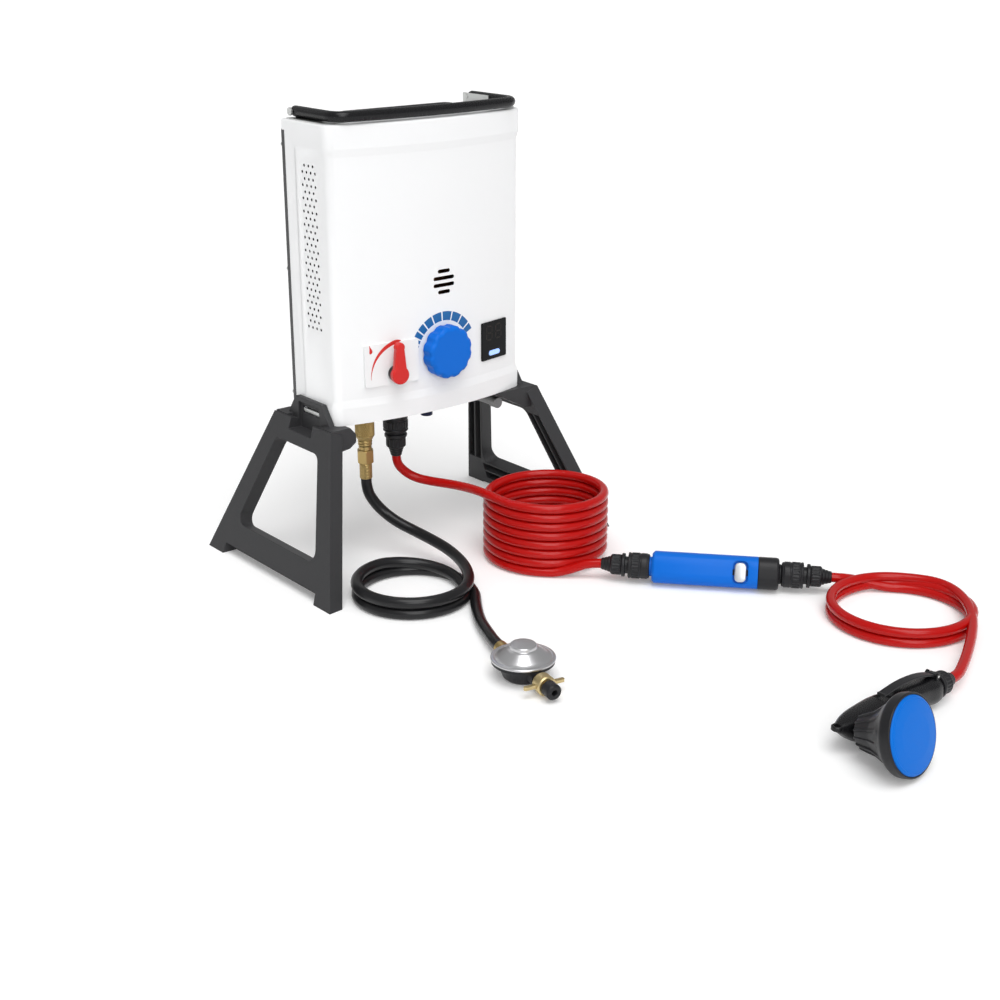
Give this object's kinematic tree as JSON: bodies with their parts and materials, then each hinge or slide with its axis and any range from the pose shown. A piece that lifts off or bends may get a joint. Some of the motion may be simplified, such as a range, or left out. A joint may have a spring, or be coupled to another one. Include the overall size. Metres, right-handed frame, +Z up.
{
  "type": "portable gas water heater",
  "caption": "Portable gas water heater on clip-on splayed legs, with gas hose and regulator, and a hot-water hose with hand valve and shower head.",
  "frame": {"origin": "on the ground, at the centre of the rectangle that the four feet stand in", "axes": "+Z up, +X to the right of someone facing the controls, +Y to the back"},
  "size_m": [0.6328, 1.0266, 0.6049],
  "materials": {
    "white_enamel": "smooth semi-gloss enamel",
    "black_sheet": "satin powder coat",
    "galvanised_steel": "zinc-coated, faint spangle",
    "black_plastic": "fine moulded grain",
    "copper": "plain drawn copper, dulled by heat",
    "grey_casting": "as cast",
    "brass": "turned, lightly dulled",
    "white_plastic": "smooth moulded",
    "dark_shaft": "smooth",
    "red_plastic": "smooth moulded",
    "blue_plastic": "smooth moulded, satin",
    "display_black": "polished black window",
    "satin_silver": "satin silver",
    "handle_black": "satin black",
    "plated_steel": "plated",
    "connector_black": "satin moulded",
    "black_rubber": "smooth, slight sheen",
    "red_rubber": "smooth, glossy",
    "regulator_grey": "die cast, sand-textured"
  },
  "bodies": {
    "case": {"back_plate": "black_sheet", "battery_box": "black_plastic", "bottom_plate": "galvanised_steel", "burner": "galvanised_steel", "cold_inlet": "brass", "cover_screws": "galvanised_steel", "display_window": "display_black", "drain_plug": "plated_steel", "flue_grille": "black_plastic", "flue_hood": "galvanised_steel", "front_cover": "white_enamel", "gas_hose_coil": "black_rubber", "gas_hose_ferrule": "brass", "gas_hose_lead": "black_rubber", "gas_hose_tail": "black_rubber", "gas_inlet": "brass", "gas_pipe": "brass", "gas_valve": "grey_casting", "handle_brackets": "galvanised_steel", "handle_pivots": "galvanised_steel", "heat_exchanger": "copper", "hot_hose_coil": "red_rubber", "hot_hose_lead": "red_rubber", "hot_hose_tail": "red_rubber", "hot_nut": "connector_black", "hot_outlet": "brass", "igniter_box": "black_plastic", "leg_left": "black_plastic", "leg_right": "black_plastic", "lever_plate": "white_plastic", "regulator_base": "regulator_grey", "regulator_cover": "regulator_grey", "regulator_nose": "connector_black", "regulator_outlet": "brass", "shower_cup": "connector_black", "shower_face": "blue_plastic", "shower_handle": "connector_black", "shower_hose_coil": "red_rubber", "shower_hose_lead": "red_rubber", "shower_hose_tail": "red_rubber", "shower_nut": "connector_black", "valve_body": "blue_plastic", "valve_end_cap": "connector_black", "valve_in_nut": "connector_black", "valve_out_nut": "connector_black", "water_pipes": "copper", "water_valve": "brass"},
    "knob": {"control_knob": "blue_plastic", "knob_shaft": "dark_shaft"},
    "gas_lever": {"gas_lever": "red_plastic", "lever_shaft": "dark_shaft"},
    "display_button": {"display_button": "satin_silver"},
    "handle": {"carry_handle": "handle_black"},
    "gas_nut": {"gas_hose_nut": "brass"},
    "hot_collar": {"hot_collar": "connector_black"},
    "valve_in_collar": {"valve_in_collar": "connector_black"},
    "valve_out_collar": {"valve_out_collar": "connector_black"},
    "valve_button": {"valve_button": "satin_silver"},
    "wing_nut": {"wing_nut": "brass"},
    "trigger": {"shower_trigger": "connector_black"}
  },
  "joints": [
    {"name": "knob_turn", "type": "hinge", "parent": "case", "child": "knob", "pos_m": [0.005, -0.07198, 0.2855], "axis": [-0.0097, 1, 0], "range_deg": [0, 140]},
    {"name": "gas_lever_turn", "type": "hinge", "parent": "case", "child": "gas_lever", "pos_m": [-0.07254, -0.06691, 0.268], "axis": [-0.1477, -0.989, 0], "range_deg": [0, 90]},
    {"name": "display_button_press", "type": "slide", "parent": "case", "child": "display_button", "axis": [-0.1892, 0.9819, 0], "range_m": [0, 0.0006], "stiffness_N_per_m": 1500},
    {"name": "handle_swing", "type": "hinge", "parent": "case", "child": "handle", "pos_m": [0, 0.034, 0.5963], "axis": [-1, 0, 0], "range_deg": [0, 95]},
    {"name": "gas_nut_spin", "type": "hinge", "parent": "case", "child": "gas_nut", "pos_m": [-0.084, -0.012, 0.178], "axis": [0, 0, 1], "continuous": true},
    {"name": "hot_collar_slide", "type": "slide", "parent": "case", "child": "hot_collar", "axis": [0, 0, -1], "range_m": [0, 0.004], "stiffness_N_per_m": 1200},
    {"name": "valve_in_collar_slide", "type": "slide", "parent": "case", "child": "valve_in_collar", "axis": [-0.6521, 0.7581, 0], "range_m": [0, 0.004], "stiffness_N_per_m": 1200},
    {"name": "valve_out_collar_slide", "type": "slide", "parent": "case", "child": "valve_out_collar", "axis": [0.6521, -0.7581, 0], "range_m": [0, 0.004], "stiffness_N_per_m": 1200},
    {"name": "valve_button_press", "type": "slide", "parent": "case", "child": "valve_button", "axis": [0.7124, 0.6128, -0.342], "range_m": [0, 0.0025], "stiffness_N_per_m": 1200},
    {"name": "wing_nut_turn", "type": "hinge", "parent": "case", "child": "wing_nut", "pos_m": [-0.1755, -0.48789, 0.014], "axis": [-0.2099, -0.9777, 0], "range_deg": [-25, 25]},
    {"name": "trigger_squeeze", "type": "hinge", "parent": "case", "child": "trigger", "pos_m": [0.13359, -0.78327, 0.04014], "axis": [0.0348, -0.9994, 0], "range_deg": [0, 5], "stiffness_Nm_per_rad": 0.6}
  ]
}
